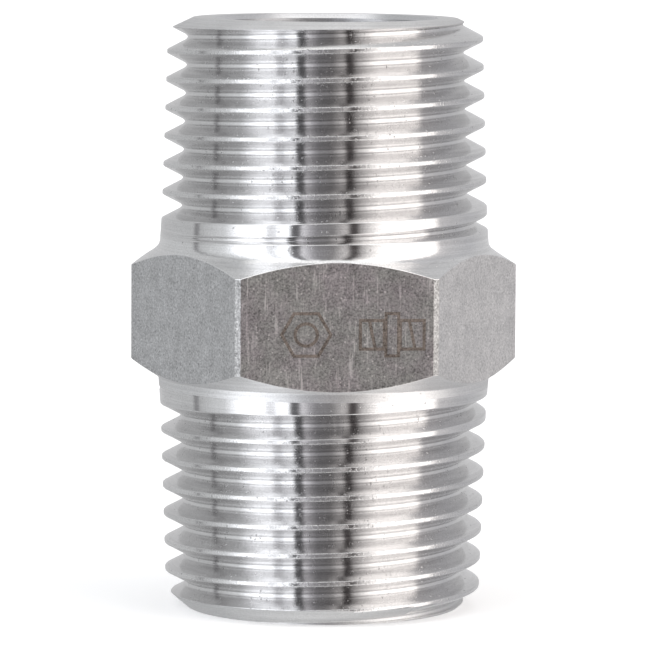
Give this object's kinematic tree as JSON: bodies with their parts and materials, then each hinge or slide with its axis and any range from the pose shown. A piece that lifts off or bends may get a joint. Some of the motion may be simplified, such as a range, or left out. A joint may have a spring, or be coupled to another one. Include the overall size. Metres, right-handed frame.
{
  "type": "hex nipple",
  "caption": "Pipe fitting with a male tapered thread on each end and a wrench hexagon in the middle, bored through",
  "frame": {"origin": "centre of the lower end face, on the bore's axis", "axes": "+Z along the bore from the lower to the upper end, -Y out of the marked flat of the hexagon, +X to the right of that flat"},
  "size_m": [0.025, 0.0218, 0.0381],
  "materials": {
    "stainless_steel": "bright turned on the threads, collars and end faces; dull drawn bar on the hexagon's flats"
  },
  "bodies": {
    "root": {"hex_nipple": "stainless_steel"}
  },
  "joints": []
}
